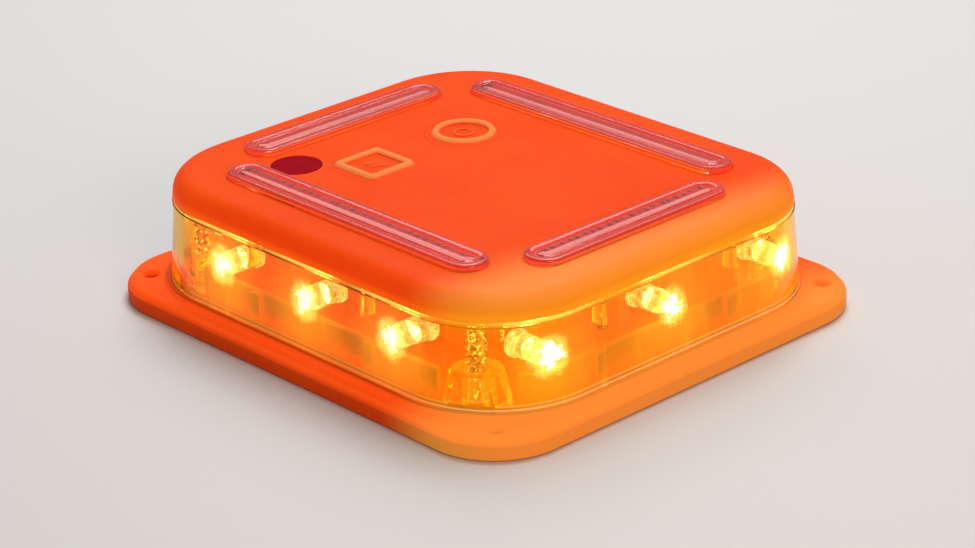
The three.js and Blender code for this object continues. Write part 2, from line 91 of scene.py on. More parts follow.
FLANGE = (TRAY_HALF.x, TRAY_HALF.y, 15.5)        # half length, half width, corner radius
LENS_FOOT = (LENS_HALF.x, LENS_HALF.y, 22.9)
CAP_RIM = (CAP_HALF.x, CAP_HALF.y, 22.0)
LENS_DRAFT = 1.5                       # how far the lens walls lean in
LENS_WALL = 2.2
FLANGE_TOP = 4.4
LIP_TOP = 5.4
FLOOR_TOP = 2.2                        # the tray's floor, seen from inside
FENCE_INSET = LENS_WALL + 2.9          # from the foot of the lens in to the low wall
FENCE_TOP = 10.6
CAP_BOTTOM = 23.0                      # the cap's rim, above its hidden skirt
CAP_CEILING = CAP_TOP - 2.4
CAP_INSET = 4.5                        # from the foot of the lens in to the cap's hidden skirt
BAR_WIDTH = 8.5                        # the visible window; its hidden flange is wider
BUTTON_ROUND = (6.5, 6.5, 6.49)        # half length, half width, corner radius
BUTTON_SQUARE = (5.9, 5.9, 1.2)
WEB = 1.7                              # width of the soft web round each button
MARK_LOW, MARK_TOP = CAP_TOP - 0.2, CAP_TOP + 0.3
BATTERY_BAY = (29.5, 15.0, 1.0)
LENS_BOSS_TOP = 11.3
CASE_SCREW = (3.6, 1.7, 2.1, 1.5, 9.0)  # head radius and height, thread radius, pitch, thread start
BOARD_SCREW = (2.3, 1.4, 1.2, 0.9, 2.6)
DOOR_SCREW = (2.3, 0.7, 1.2, 0.9, 2.0)
SCREW_BORE = 2.4                       # clearance round a case screw
THREAD_BORE = 2.2                      # where the screw bites in the cap
FIXING_RADIUS = 1.6
LED_RIM = 2.9                          # radius of the flange at the foot of a LED's dome
RIB_AT = (17.0, 18.0)                  # from the middle, along the long and the short sides
SCREW_AT = (41.0, 39.5)
POST_AT = (38.5, 25.0)
FIXING_AT = (FLANGE[0] - 8, FLANGE[1] - 8)
CORNERS = [(-1, -1), (1, -1), (1, 1), (-1, 1)]
ARC = 18                               # steps in a quarter circle on the large outlines


# ------------------------------------------------------------------ mesh tools
def outline(half_x, half_y, radius, centre=(0.0, 0.0), steps=ARC):
    """Points of a rounded rectangle, anticlockwise from its right side."""
    radius = max(radius, 0.05)
    points = []
    for quarter, (sx, sy) in enumerate([(1, 1), (-1, 1), (-1, -1), (1, -1)]):
        cx, cy = centre[0] + sx * (half_x - radius), centre[1] + sy * (half_y - radius)
        for i in range(steps + 1):
            angle = math.pi / 2 * (quarter + i / steps)
            points.append((cx + radius * math.cos(angle), cy + radius * math.sin(angle)))
    return points


def inset(shape, by):
    """A rounded rectangle's sizes, drawn in all round."""
    return (shape[0] - by, shape[1] - by, max(shape[2] - by, 0.05))


def arc(z, run, radius_z, radius_run, start, end, steps=6):
    """(inset, level) pairs round a quarter ellipse, from one angle to another in degrees."""
    pairs = []
    for i in range(steps + 1):
        angle = math.radians(start + (end - start) * i / steps)
        pairs.append((run + radius_run * math.cos(angle), z + radius_z * math.sin(angle)))
    return pairs


def inside(point, loop):
    """Whether a point, in millimetres, lies inside a loop of vertices seen from above."""
    crossings = 0
    for i, vert in enumerate(loop):
        a, b = vert.co * 1000, loop[(i + 1) % len(loop)].co * 1000
        if (a.y > point.y) != (b.y > point.y):
            crossings += point.x < a.x + (point.y - a.y) * (b.x - a.x) / (b.y - a.y)
    return crossings % 2 == 1


class Shell:
    """A closed mesh grown from rings of points, with flat stretches filled between loops."""

    def __init__(self, name):
        self.name = name
        self.bm = bmesh.new()

    def ring(self, points, z):
        return [self.bm.verts.new(mm(x, y, z)) for x, y in points]

    def rings(self, shape, profile, **where):
        """One ring for each (inset, level) pair of a profile, skinned together."""
        made = [self.ring(outline(*inset(shape, by), **where), z) for by, z in profile]
        self.skin(made)
        return made

    def skin(self, rings):
        """Joins each ring to the next with quads."""
        for low, high in zip(rings, rings[1:]):
            count = len(low)
            for i in range(count):
                j = (i + 1) % count
                self.bm.faces.new((low[i], low[j], high[j], high[i]))

    def fill(self, *loops):
        """Fills the flat area that lies inside the first loop and outside the others."""
        verts = [vert for loop in loops for vert in loop]
        edges = []
        for loop in loops:
            start = verts.index(loop[0])
            edges += [(start + i, start + (i + 1) % len(loop)) for i in range(len(loop))]
        flat = [vert.co.xy * 1000 for vert in verts]
        points, _, triangles, origins, _, _ = delaunay_2d_cdt(flat, edges, [], 0, 1e-5)
        for triangle in triangles:
            middle = sum((points[i] for i in triangle), Vector((0, 0))) / 3
            if inside(middle, loops[0]) and not any(inside(middle, hole) for hole in loops[1:]):
                self.bm.faces.new([verts[origins[i][0]] for i in triangle])

    def done(self, sharp=32):
        """The finished piece, shaded smooth but for edges sharper than an angle in degrees."""
        bmesh.ops.recalc_face_normals(self.bm, faces=self.bm.faces)
        mesh = bpy.data.meshes.new(self.name)
        self.bm.to_mesh(mesh)
        self.bm.free()
        piece = bpy.data.objects.new(self.name, mesh)
        bpy.context.scene.collection.objects.link(piece)
        return smooth(piece, sharp)


def smooth(piece, sharp=32):
    for polygon in piece.data.polygons:
        polygon.use_smooth = True
    piece.data.set_sharp_from_angle(angle=math.radians(sharp))
    return piece


def stacked(name, shape, profile, sharp=32, **where):
    """A closed body of stacked outlines, flat at both ends."""
    shell = Shell(name)
    made = shell.rings(shape, profile, **where)
    shell.fill(made[0])
    shell.fill(made[-1])
    return shell.done(sharp)


def band(name, shape, profile, sharp=32, **where):
    """A closed band whose cross-section is a loop of (inset, level) pairs."""
    shell = Shell(name)
    made = shell.rings(shape, profile, **where)
    shell.skin([made[-1], made[0]])
    return shell.done(sharp)


def turned(name, profile, sides=48, sharp=32, at=(0, 0, 0)):
    """A body of revolution about Z, from (radius, height) pairs that start and end on the axis."""
    shell = Shell(name)
    circle = [2 * math.pi * i / sides for i in range(sides)]
    rings = []
    for radius, height in profile[1:-1]:
        points = [(at[0] + radius * math.cos(a), at[1] + radius * math.sin(a)) for a in circle]
        rings.append(shell.ring(points, at[2] + height))
    shell.skin(rings)
    for ring, (_, height), flip in ((rings[0], profile[0], True), (rings[-1], profile[-1], False)):
        tip = shell.bm.verts.new(mm(at[0], at[1], at[2] + height))
        for i in range(sides):
            a, b = ring[i], ring[(i + 1) % sides]
            shell.bm.faces.new((b, a, tip) if flip else (a, b, tip))
    return shell.done(sharp)


def block(name, size, centre):
    """A plain box, used only as a tool for joining and cutting."""
    bm = bmesh.new()
    bmesh.ops.create_cube(bm, size=1.0)
    bmesh.ops.scale(bm, vec=mm(*size), verts=bm.verts)
    bmesh.ops.translate(bm, vec=mm(*centre), verts=bm.verts)
    mesh = bpy.data.meshes.new(name)
    bm.to_mesh(mesh)
    bm.free()
    piece = bpy.data.objects.new(name, mesh)
    bpy.context.scene.collection.objects.link(piece)
    return piece


def carve(piece, operation, others, sharp=32):
    """Joins or cuts a piece with other closed bodies, which are used up."""
    for other in others:
        modifier = piece.modifiers.new("carve", "BOOLEAN")
        modifier.operation = operation
        modifier.solver = "EXACT"
        modifier.object = other
        settle(piece)
        bpy.data.objects.remove(other)
    return smooth(piece, sharp)


def settle(piece):
    """Applies a piece's modifiers to its mesh."""
    bpy.context.view_layer.update()
    graph = bpy.context.evaluated_depsgraph_get()
    mesh = bpy.data.meshes.new_from_object(piece.evaluated_get(graph))
    piece.modifiers.clear()
    old = piece.data
    piece.data = mesh
    bpy.data.meshes.remove(old)


def in_corners(at):
    """A place mirrored into the four corners."""
    return [(sx * at[0], sy * at[1]) for sx, sy in CORNERS]


def at_screws(name, profile):
    """The same turned body round each of the four case screws."""
    return [turned(name, profile, at=(x, y, 0)) for x, y in in_corners(SCREW_AT)]


# ------------------------------------------------------------------ cap, bars and buttons
def bar_shape(node):
    """The visible window of a light bar: its outline and centre."""
    centre, half = box_mm(node)
    rim = min(half.x, half.y) - BAR_WIDTH / 2
    shape = (half.x - rim, half.y - rim, BAR_WIDTH / 2 - 0.02)
    return shape, (centre.x, centre.y)


def make_cap():
    """The cap: a hidden skirt, a rounded shoulder, and a hole for each bar, button and the window."""
    shell = Shell("cap_shell")
    skirt = [(CAP_INSET, CAP_CEILING), (CAP_INSET, CAP_SKIRT + 0.2), (4.3, CAP_SKIRT), (3.1, CAP_SKIRT),
             (2.9, CAP_SKIRT + 0.2), (2.9, CAP_BOTTOM), (2.2, CAP_BOTTOM), (2.2, CAP_BOTTOM + 0.8),
             (1.0, CAP_BOTTOM + 0.8), (1.0, CAP_BOTTOM)]
    lower_edge = arc(CAP_BOTTOM + 0.3, 0.3, 0.3, -0.3, -90, 0, 4)
    shoulder = arc(CAP_TOP - 4.0, 4.35, 4.0, -4.2, 0, 90, 16)
    rings = shell.rings(CAP_RIM, skirt + lower_edge + shoulder + [(4.7, CAP_TOP)])
    tops, bottoms = [], []

    def hole(shape, centre, profile, steps):
        made = shell.rings(shape, profile, centre=centre, steps=steps)
        tops.append(made[0])
        bottoms.append(made[-1])

    rounded = arc(CAP_TOP - 0.15, -0.2, 0.15, 0.15, 90, 0, 3)
    for node in BARS:
        shape, centre = bar_shape(node)
        hole(shape, centre, [(-0.4, CAP_TOP)] + rounded + [(-0.05, CAP_CEILING)], 12)
    straight = [(-WEB - 0.1, CAP_TOP), (-WEB, CAP_TOP), (-WEB, CAP_CEILING)]
    hole(BUTTON_ROUND, POWER_AT.xy, straight, 14)
    hole(BUTTON_SQUARE, MODE_AT.xy, straight, 6)
    radius = SENSOR_HALF.x
    hole((radius, radius, radius - 0.01), SENSOR_AT.xy,
         [(-0.25, CAP_TOP), (-0.16, CAP_TOP), (-0.1, CAP_TOP - 0.06), (-0.1, CAP_TOP - 1.2),
          (1.0, CAP_TOP - 1.2), (1.0, CAP_CEILING)], 12)
    shell.fill(rings[-1], *tops)
    shell.fill(rings[0], *bottoms)
    cap = shell.done()
    roof = CAP_CEILING + 0.5
    bosses = at_screws("boss", [(0, 20.5), (THREAD_BORE, 20.5), (2.9, 20.5), (2.9, roof), (0, roof)])
    drills = at_screws("drill", [(0, 20), (THREAD_BORE, 20), (THREAD_BORE, 25), (0, 25)])
    carve(cap, "UNION", bosses)
    return carve(cap, "DIFFERENCE", drills)


def make_web(name, shape, centre, steps):
    """The soft skin that joins a button to the cap, flush outside and rising to the button's wall."""
    shell = Shell(name)
    rise = [(-WEB - 0.2, 0.004), (-WEB, 0.004), (-WEB * 0.75, 0.004), (-0.9, 0.03), (-0.6, 0.09),
            (-0.35, 0.2), (-0.15, 0.36), (0.02, 0.55)]
    shell.rings(shape, [(by, CAP_TOP + lift) for by, lift in rise], centre=centre, steps=steps)
    piece = shell.done(80)
    if piece.data.polygons[0].normal.z < 0:
        piece.data.flip_normals()
    thickness = piece.modifiers.new("thickness", "SOLIDIFY")
    thickness.thickness = 0.3 / 1000
    thickness.offset = -1.0
    return piece


def make_button(name, shape, centre, steps, marks):
    """A raised bead round a flat floor, on a stem with a hidden flange that holds it under the cap."""
    shell = Shell(name)
    top, floor = BUTTON_TOP, CAP_TOP + 0.05
    profile = [(-1.4, BUTTON_LOW), (-1.4, BUTTON_LOW + 0.6), (0.0, BUTTON_LOW + 0.6), (0.0, CAP_TOP)]
    profile += arc(top - 0.4, 0.4, 0.4, -0.4, 0, 90, 5)
    profile += arc(top - 0.35, 0.85, 0.35, 0.35, 90, 0, 4)
    profile += [(1.25, floor + 0.2), (1.35, floor + 0.05), (1.6, floor), (1.9, floor)]
    rings = shell.rings(shape, profile, centre=centre, steps=steps)
    shell.fill(rings[0])
    shell.fill(rings[-1])
    button = shell.done(36)
    return carve(button, "UNION", marks, 36)


def raised_mark(shape, centre, turn=0.0):
    """A low pad with rounded edges, moulded on a button's floor."""
    mark = stacked("mark", shape, [(0, MARK_LOW), (0, MARK_TOP - 0.1), (0.1, MARK_TOP)], steps=5)
    mark.data.transform(Matrix.Translation(mm(*centre, 0)) @ Matrix.Rotation(turn, 4, "Z"))
    return mark


def power_marks(at):
    """A broken ring with a short stroke in its gap."""
    section = [(0, MARK_LOW), (0, MARK_TOP), (0.4, MARK_TOP), (0.4, MARK_LOW)]
    ring = band("mark", (2.2, 2.2, 2.19), section, centre=at.xy, steps=8)
    stroke = raised_mark((0.24, 1.1, 0.2), (at.x, at.y + 1.9))
    gap = block("gap", (1.6, 1.8, 2), (at.x, at.y + 2.2, CAP_TOP + 0.5))
    return [carve(ring, "DIFFERENCE", [gap]), stroke]


def mode_marks(at):
    """Three leaning strokes."""
    return [raised_mark((0.24, 1.7, 0.2), (at.x + shift, at.y), -0.35) for shift in (-1.1, 0.0, 1.1)]


def make_bar(node):
    """A clear bar: hidden flange, rounded rim, and a low crown with a groove round it."""
    shape, centre = bar_shape(node)
    shell = Shell(node + "_lens")
    low = CAP_CEILING - 1.2
    profile = [(-1.1, low), (-1.1, CAP_CEILING - 0.1), (0, CAP_CEILING - 0.1)]
    profile += arc(BAR_TOP - 0.6, 0.6, 0.6, -0.6, 0, 90, 6)
    profile += [(1.5, BAR_TOP - 0.02), (1.75, BAR_TOP - 0.1), (1.95, BAR_TOP - 0.3), (2.15, BAR_TOP - 0.42)]
    profile += arc(BAR_TOP - 0.42, 4.2, 0.4, -1.85, 12, 90, 8)
    rings = shell.rings(shape, profile, centre=centre, steps=12)
    shell.fill(rings[0])
    shell.fill(rings[-1])
    bar = shell.done(50)
    bar.data.materials.append(CLEAR)
    bar.data.materials.append(BAR_BASE)
    for face in bar.data.polygons:
        face.material_index = int(face.center.z * 1000 < low + 0.05)
    return bar


# ------------------------------------------------------------------ lens, tray and inner walls
def wall_ribs(thick, deep, tall, across, along, level):
    """Two short upright ribs for each side of a wall, to be joined to it."""
    ribs = []
    for sign in (-1, 1):
        for x in (-RIB_AT[0], RIB_AT[0]):
            ribs.append(block("rib", (thick, deep, tall), (x, sign * across, level)))
        for y in (-RIB_AT[1], RIB_AT[1]):
            ribs.append(block("rib", (deep, thick, tall), (sign * along, y, level)))
    return ribs


def make_lens():
    """The leaning clear wall with its screw bosses and, high up inside, eight short ribs."""
    def side(depth, z):
        """Inset of the wall at a level, for a depth into the wall."""
        lean = LENS_DRAFT * max(z - LIP_TOP, 0) / (LENS_HIGH - LIP_TOP)
        return depth + lean, z

    outer = [side(0.25, LENS_LOW), side(0, LENS_LOW + 0.25), side(0, LIP_TOP + 0.1),
             side(-0.1, LIP_TOP + 0.25), side(-0.1, LIP_TOP + 0.5), side(0, LIP_TOP + 0.7),
             side(0, 21.3), side(-0.22, 21.5), side(-0.22, 22.1), side(0, 22.3),
             side(0, LENS_HIGH - 0.2), side(0.2, LENS_HIGH)]
    inner = [side(LENS_WALL - 0.2, LENS_HIGH), side(LENS_WALL, LENS_HIGH - 0.2), side(LENS_WALL, LIP_TOP),
             side(LENS_WALL, LENS_LOW + 0.2), side(LENS_WALL - 0.2, LENS_LOW)]
    lens = band("lens_shell", LENS_FOOT, outer + inner, steps=24)
    foot = LENS_LOW + 0.01
    bosses = at_screws("boss", [(0, foot), (6.5, foot), (5.1, LENS_BOSS_TOP - 0.3), (4.8, LENS_BOSS_TOP),
                                (0, LENS_BOSS_TOP)])
    depth = LENS_DRAFT + LENS_WALL + 0.6
    ribs = wall_ribs(1.1, 3.6, 6.3, LENS_HALF.y - depth, LENS_HALF.x - depth, LENS_HIGH - 3.2)
    carve(lens, "UNION", bosses + ribs, 30)
    drills = at_screws("drill", [(0, 3), (SCREW_BORE, 3), (SCREW_BORE, 13), (0, 13)])
    return carve(lens, "DIFFERENCE", drills, 30)


def lip_section():
    """(inset, level) pairs round the lip that holds the foot of the lens."""
    outside = [(3.6, 1.0), (-1.9, 3.9), (-1.9, FLANGE_TOP - 0.02), (-1.62, FLANGE_TOP + 0.1),
               (-1.5, FLANGE_TOP + 0.35), (-1.45, LIP_TOP - 0.3), (-1.2, LIP_TOP)]
    inside_lens = [(-0.3, LIP_TOP), (-0.1, LIP_TOP - 0.2), (-0.1, 3.2), (2.5, 3.2), (2.5, LIP_TOP),
                   (3.6, LIP_TOP)]
    return outside + inside_lens


def fixing_holes():
    """The four flange holes, each with a rounded mouth."""
    r = FIXING_RADIUS
    mouth = [(r, FLANGE_TOP - 0.8), (r + 0.1, FLANGE_TOP - 0.5), (r + 0.35, FLANGE_TOP - 0.12),
             (r + 0.7, FLANGE_TOP), (r + 0.8, FLANGE_TOP + 0.3), (0, FLANGE_TOP + 0.3)]
    return [turned("hole", [(0, -1), (r, -1)] + mouth, at=(x, y, 0)) for x, y in in_corners(FIXING_AT)]


def make_tray():
    """The tray: flange, lip, lens groove, screw pads and holes, and the battery door's recess."""
    under = arc(0.5, 0.5, 0.5, -0.5, -90, 0, 4)
    upper = [(0, 2.9), (0.08, 3.15), (0.35, 3.35), (0.55, 3.45), (0.75, 3.9), (1.0, 4.25),
             (1.35, FLANGE_TOP), (2.2, FLANGE_TOP)]
    tray = stacked("tray_shell", FLANGE, under + upper)
    lip = band("lip", LENS_FOOT, lip_section(), steps=24)
    pocket = stacked("pocket", inset(LENS_FOOT, 3.6), [(0, FLOOR_TOP), (0, 9)])
    groove = stacked("groove", inset(LENS_FOOT, -0.1), [(0, 3.2), (0, 9)])
    core = stacked("core", inset(LENS_FOOT, 2.5), [(0, 2), (0, 10)])
    carve(groove, "DIFFERENCE", [core])
    pads = at_screws("pad", [(0, 2.0), (6.6, 2.0), (6.2, 4.0), (0, 4.0)])
    carve(tray, "DIFFERENCE", [pocket, groove])
    carve(tray, "UNION", [lip] + pads)
    holes = fixing_holes()
    for x, y in in_corners(SCREW_AT):
        holes.append(turned("hole", [(0, -1), (4.0, -1), (4.0, 2.1), (0, 2.1)], at=(x, y, 0)))
        holes.append(turned("hole", [(0, 1), (SCREW_BORE, 1), (SCREW_BORE, 9), (0, 9)], at=(x, y, 0)))
    holes.append(stacked("hole", (37.3, 20.1, 3.0), [(0, -1), (0, 2.0)], steps=6))
    holes.append(stacked("hole", BATTERY_BAY, [(0, 1.5), (0, 5)], steps=4))
    return carve(tray, "DIFFERENCE", holes)


def make_fence():
    """The low wall inside the lens, with its ribs and a gap at each screw."""
    shape = inset(LENS_FOOT, FENCE_INSET)
    section = [(0, FLOOR_TOP), (0, FENCE_TOP - 0.3), (0.3, FENCE_TOP), (1.3, FENCE_TOP),
               (1.6, FENCE_TOP - 0.3), (1.6, FLOOR_TOP)]
    fence = band("inner_fence", shape, section)
    tall = FENCE_TOP - FLOOR_TOP
    middle = (FENCE_TOP + FLOOR_TOP) / 2 - 0.01
    carve(fence, "UNION", wall_ribs(2.6, 1.6, tall, shape[1] + 0.3, shape[0] + 0.3, middle))
    gaps = at_screws("gap", [(0, 0), (7.6, 0), (7.6, 20), (0, 20)])
    return carve(fence, "DIFFERENCE", gaps)


def make_battery_box():
    """The cells' box under the board, on the ledge round the battery door."""
    box = stacked("battery_box", (31.1, 16.6, 2.0), [(0, 2.1), (0, 17.3), (0.3, 17.8), (0.8, 18.0)], steps=6)
    ledge = stacked("ledge", (39.2, 22.0, 5.0), [(0, 2.0), (0, 3.7), (0.3, 4.0)], steps=6)
    carve(box, "UNION", [ledge])
    hollow = stacked("hollow", BATTERY_BAY, [(0, 1), (0, 16.8)], steps=4)
    return carve(box, "DIFFERENCE", [hollow])


def make_board_post(index, x, y):
    """A post from the tray's floor up to the board, bored for its screw."""
    profile = [(0, FLOOR_TOP), (3.4, FLOOR_TOP), (2.6, 4.0), (2.5, 18.3), (2.3, 18.5), (1.25, 18.5),
               (1.25, 12), (0, 12)]
    return turned(f"board_post_{index}", profile, sides=32, at=(x, y, 0))


# ------------------------------------------------------------------ LEDs, screws and the window
def led_heading(node):
    """The way a LED points, as a level unit vector."""
    return Vector((*LED_HEADINGS[node.split("_")[1]], 0))


def led_tip(node):
    """Where a LED's dome ends, in millimetres."""
    centre, half = box_mm(node)
    tip = centre + led_heading(node) * abs(led_heading(node).dot(half))
    tip.z = centre.z - half.z + LED_RIM
    return tip


def make_led(node):
    """A 5 mm LED: dome, flange, reflector cup with its chip, and two legs bent up to the board."""
    low, high = levels(node)
    reach = 8.6                        # from the back of the flange to the tip
    rise = high - low - LED_RIM        # from the dome's axis up to the board
    radius = 2.5
    steps = [math.radians(12 * i) for i in range(8)]
    dome = [(radius * math.cos(a), reach - radius + radius * math.sin(a)) for a in steps]
    flange = [(0, 0), (2.75, 0), (LED_RIM, 0.15), (LED_RIM, 0.9), (2.75, 1.05), (radius, 1.1)]
    body = turned("body", flange + dome + [(0, reach)], sides=32)
    cup = turned("cup", [(0, 2.2), (0.9, 2.2), (1.5, 3.6), (1.35, 3.65), (0.75, 2.6), (0, 2.6)], sides=24)
    chip = turned("chip", [(0, 2.65), (0.7, 2.65), (1.3, 3.9), (0.9, 4.6), (0, 4.9)], sides=24)
    legs = []
    for y in (-1.27, 1.27):
        leg = block("leg", (0.5, 0.5, 2.6), (0, y, -0.9))
        bend = block("leg", (rise + 0.25, 0.5, 0.5), (0.125 - rise / 2, y, -1.95))
        legs.append(carve(leg, "UNION", [bend]))
    piece = assemble(node + "_lamp", [body, cup, chip] + legs, [LED_RESIN, STEEL, LED_CHIP, STEEL, STEEL])
    front = led_heading(node)
    aim = Matrix.Rotation(math.radians(90), 4, "Y")
    turn = Matrix.Rotation(math.atan2(front.y, front.x), 4, "Z")
    back = led_tip(node) - front * reach
    piece.data.transform(Matrix.Translation(mm(*back)) @ turn @ aim)
    return piece


def assemble(name, parts, materials):
    """One piece from several closed bodies, each with its own material."""
    bm = bmesh.new()
    mesh = bpy.data.meshes.new(name)
    kinds = []
    for part, kind in zip(parts, materials):
        if kind not in kinds:
            kinds.append(kind)
            mesh.materials.append(kind)
        start = len(bm.faces)
        bm.from_mesh(part.data)
        bm.faces.ensure_lookup_table()
        for face in bm.faces[start:]:
            face.material_index = kinds.index(kind)
        bpy.data.objects.remove(part)
    bm.to_mesh(mesh)
    bm.free()
    piece = bpy.data.objects.new(name, mesh)
    bpy.context.scene.collection.objects.link(piece)
    return smooth(piece)


def make_screw(node, head_radius, head_height, radius, pitch, thread_from, point_down=False):
    """A thread-forming screw with a helical thread and a cross recess in its head."""
    centre, half = box_mm(node)
    length = half.z * 2
    sides, rows_per_turn = 24, 8
    angles = [2 * math.pi * i / sides for i in range(sides)]
    core = radius * 0.72
    ridge_slope = 3.2                  # fall of the ridge's flanks, in ridge heights per pitch
    shell = Shell(node + "_fine")
    rings = []

    def ring(height, radii):
        points = [(r * math.cos(angle), r * math.sin(angle)) for r, angle in zip(radii, angles)]
        rings.append(shell.ring(points, height))

    def thread(height, fade):
        radii = []
        for angle in angles:
            phase = (height / pitch - angle / (2 * math.pi)) % 1.0
            ridge = max(0.0, 1 - abs(phase - 0.5) * ridge_slope)
            radii.append(core + (radius - core) * ridge * fade)
        return radii

    for r, height in [(head_radius * 0.86, 0.0), (head_radius, 0.3), (head_radius, head_height - 0.15),
                      (head_radius - 0.15, head_height), (core, head_height), (core, thread_from - pitch)]:
        ring(height, [r] * sides)
    rows = int((length - 0.9 - thread_from) / pitch * rows_per_turn)
    for row in range(rows):
        height = thread_from + row * pitch / rows_per_turn
        fade = min(1.0, row / rows_per_turn, (rows - row) / rows_per_turn)
        ring(height, thread(height, fade))
    ring(length - 0.5, [core * 0.8] * sides)
    ring(length, [core * 0.35] * sides)
    shell.skin(rings)
    shell.fill(rings[0])
    shell.fill(rings[-1])
    screw = shell.done(40)
    wide, narrow, deep = head_radius * 1.1, head_radius * 0.2, head_height * 0.6
    cross = [block("slot", (wide, narrow, deep), (0, 0, deep * 0.4)),
             block("slot", (narrow, wide, deep), (0, 0, deep * 0.4))]
    carve(screw, "DIFFERENCE", cross, 40)
    flip = Matrix.Rotation(math.pi, 4, "X") if point_down else Matrix.Identity(4)
    level = centre.z + half.z if point_down else centre.z - half.z
    screw.data.transform(Matrix.Translation(mm(centre.x, centre.y, level)) @ flip)
    return screw


def make_sensor():
    """The round window: a thin disc with an eased edge."""
    radius = SENSOR_HALF.x
    low, high = levels("sensor_window")
    profile = [(0, low), (radius, low), (radius, high - 0.12), (radius - 0.1, high - 0.02),
               (radius - 0.3, high), (0, high)]
    return turned("sensor_window_lens", profile, sides=64, at=(SENSOR_AT.x, SENSOR_AT.y, 0))


# ------------------------------------------------------------------ materials
class Nodes:
    """A material under construction: its node tree and its shader."""

    def __init__(self, name, color, roughness, **sockets):
        self.material = bpy.data.materials.new(name)
        self.material.use_nodes = True
        self.tree = self.material.node_tree
        self.shader = self.tree.nodes["Principled BSDF"]
        self.shader.inputs["Base Color"].default_value = (*color, 1)
        self.shader.inputs["Roughness"].default_value = roughness
        for socket, value in sockets.items():
            self.shader.inputs[socket.replace("_", " ")].default_value = value
        self.position = self.add("ShaderNodeTexCoord").outputs["Object"]

    def add(self, kind, **settings):
        node = self.tree.nodes.new(kind)
        for key, value in settings.items():
            setattr(node, key, value)
        return node

    def wire(self, source, target):
        self.tree.links.new(source, target)

    def paint(self, color):
        self.wire(color, self.shader.inputs["Base Color"])

    def roughen(self, roughness):
        self.wire(roughness, self.shader.inputs["Roughness"])

    def axes(self):
        """X, Y and Z of the point being shaded, in metres."""
        split = self.add("ShaderNodeSeparateXYZ")
        self.wire(self.position, split.inputs["Vector"])
        return split.outputs["X"], split.outputs["Y"], split.outputs["Z"]

    def feed(self, value, socket):
        """Sets a socket to a number or a colour, or wires another node's output to it."""
        if isinstance(value, (int, float)):
            socket.default_value = value
        elif isinstance(value, tuple):
            socket.default_value = (*value, 1)
        else:
            self.wire(value, socket)

    def math(self, operation, *values):
        node = self.add("ShaderNodeMath", operation=operation)
        for value, socket in zip(values, node.inputs):
            self.feed(value, socket)
        return node.outputs[0]

    def both(self, a, b):
        """Where two masks overlap."""
        return self.math("MULTIPLY", a, b)

    def opposite(self, mask):
        return self.math("SUBTRACT", 1.0, mask)

    def noise(self, scale, detail=3.0, roughness=0.55, stretch=None):
        node = self.add("ShaderNodeTexNoise")
        node.inputs["Scale"].default_value = scale
        node.inputs["Detail"].default_value = detail
        node.inputs["Roughness"].default_value = roughness
        source = self.position
        if stretch:
            mapping = self.add("ShaderNodeMapping")
            mapping.inputs["Scale"].default_value = stretch
            self.wire(source, mapping.inputs["Vector"])
            source = mapping.outputs["Vector"]
        self.wire(source, node.inputs["Vector"])
        return node.outputs["Fac"]

    def ramp(self, value, stops):
        node = self.add("ShaderNodeValToRGB")
        elements = node.color_ramp.elements
        while len(elements) < len(stops):
            elements.new(0.5)
        for element, (place, color) in zip(elements, stops):
            element.position = place
            element.color = (*color, 1)
        self.wire(value, node.inputs["Fac"])
        return node.outputs["Color"]

    def span(self, value, low, high, to_low=0.0, to_high=1.0):
        """Runs smoothly from one value to another while its input runs from low to high."""
        node = self.add("ShaderNodeMapRange", interpolation_type="SMOOTHSTEP")
        limits = {"From Min": low, "From Max": high, "To Min": to_low, "To Max": to_high}
        for socket, number in limits.items():
            node.inputs[socket].default_value = number
        self.wire(value, node.inputs["Value"])
        return node.outputs["Result"]

    def above(self, value, low, high):
        """0 below the first length and 1 above the second, both in millimetres."""
        return self.span(value, low / 1000, high / 1000)

    def below(self, value, low, high, floor=0.0):
        """1 below the first length and floor above the second, both in millimetres."""
        return self.span(value, low / 1000, high / 1000, 1.0, floor)

    def bump(self, height, strength, distance):
        node = self.add("ShaderNodeBump")
        node.inputs["Strength"].default_value = strength
        node.inputs["Distance"].default_value = distance
        self.wire(height, node.inputs["Height"])
        self.wire(node.outputs["Normal"], self.shader.inputs["Normal"])

    def blend(self, mask, a, b, kind="MIX"):
        """Mixes two colours; inputs 0, 6 and 7 and output 2 are a Mix node's colour sockets."""
        node = self.add("ShaderNodeMix", data_type="RGBA", blend_type=kind)
        for value, index in ((mask, 0), (a, 6), (b, 7)):
            self.feed(value, node.inputs[index])
        return node.outputs[2]

    def led_distance(self):
        """Distance to the tip of the nearest LED, in metres."""
        nearest = None
        for node in LED_NODES:
            distance = self.add("ShaderNodeVectorMath", operation="DISTANCE")
            self.wire(self.position, distance.inputs[0])
            distance.inputs[1].default_value = mm(*led_tip(node))
            value = distance.outputs["Value"]
            nearest = value if nearest is None else self.math("MINIMUM", nearest, value)
        return nearest

    def led_glow(self, near, far):
        """1 within near of a LED's tip and 0 beyond far, in millimetres."""
        return self.below(self.led_distance(), near, far)

    def lens_gap(self):
        """Distance outwards from the foot of the lens, in metres, and negative inside it."""
        reach = []
        for axis, half in zip(self.axes(), LENS_FOOT[:2]):
            size = self.math("ABSOLUTE", axis)
            reach.append(self.math("SUBTRACT", size, (half - LENS_FOOT[2]) / 1000))
        square = [self.math("POWER", self.math("MAXIMUM", q, 0.0), 2.0) for q in reach]
        corner = self.math("SQRT", self.math("ADD", *square))
        middle = self.math("MINIMUM", self.math("MAXIMUM", *reach), 0.0)
        return self.math("SUBTRACT", self.math("ADD", corner, middle), LENS_FOOT[2] / 1000)

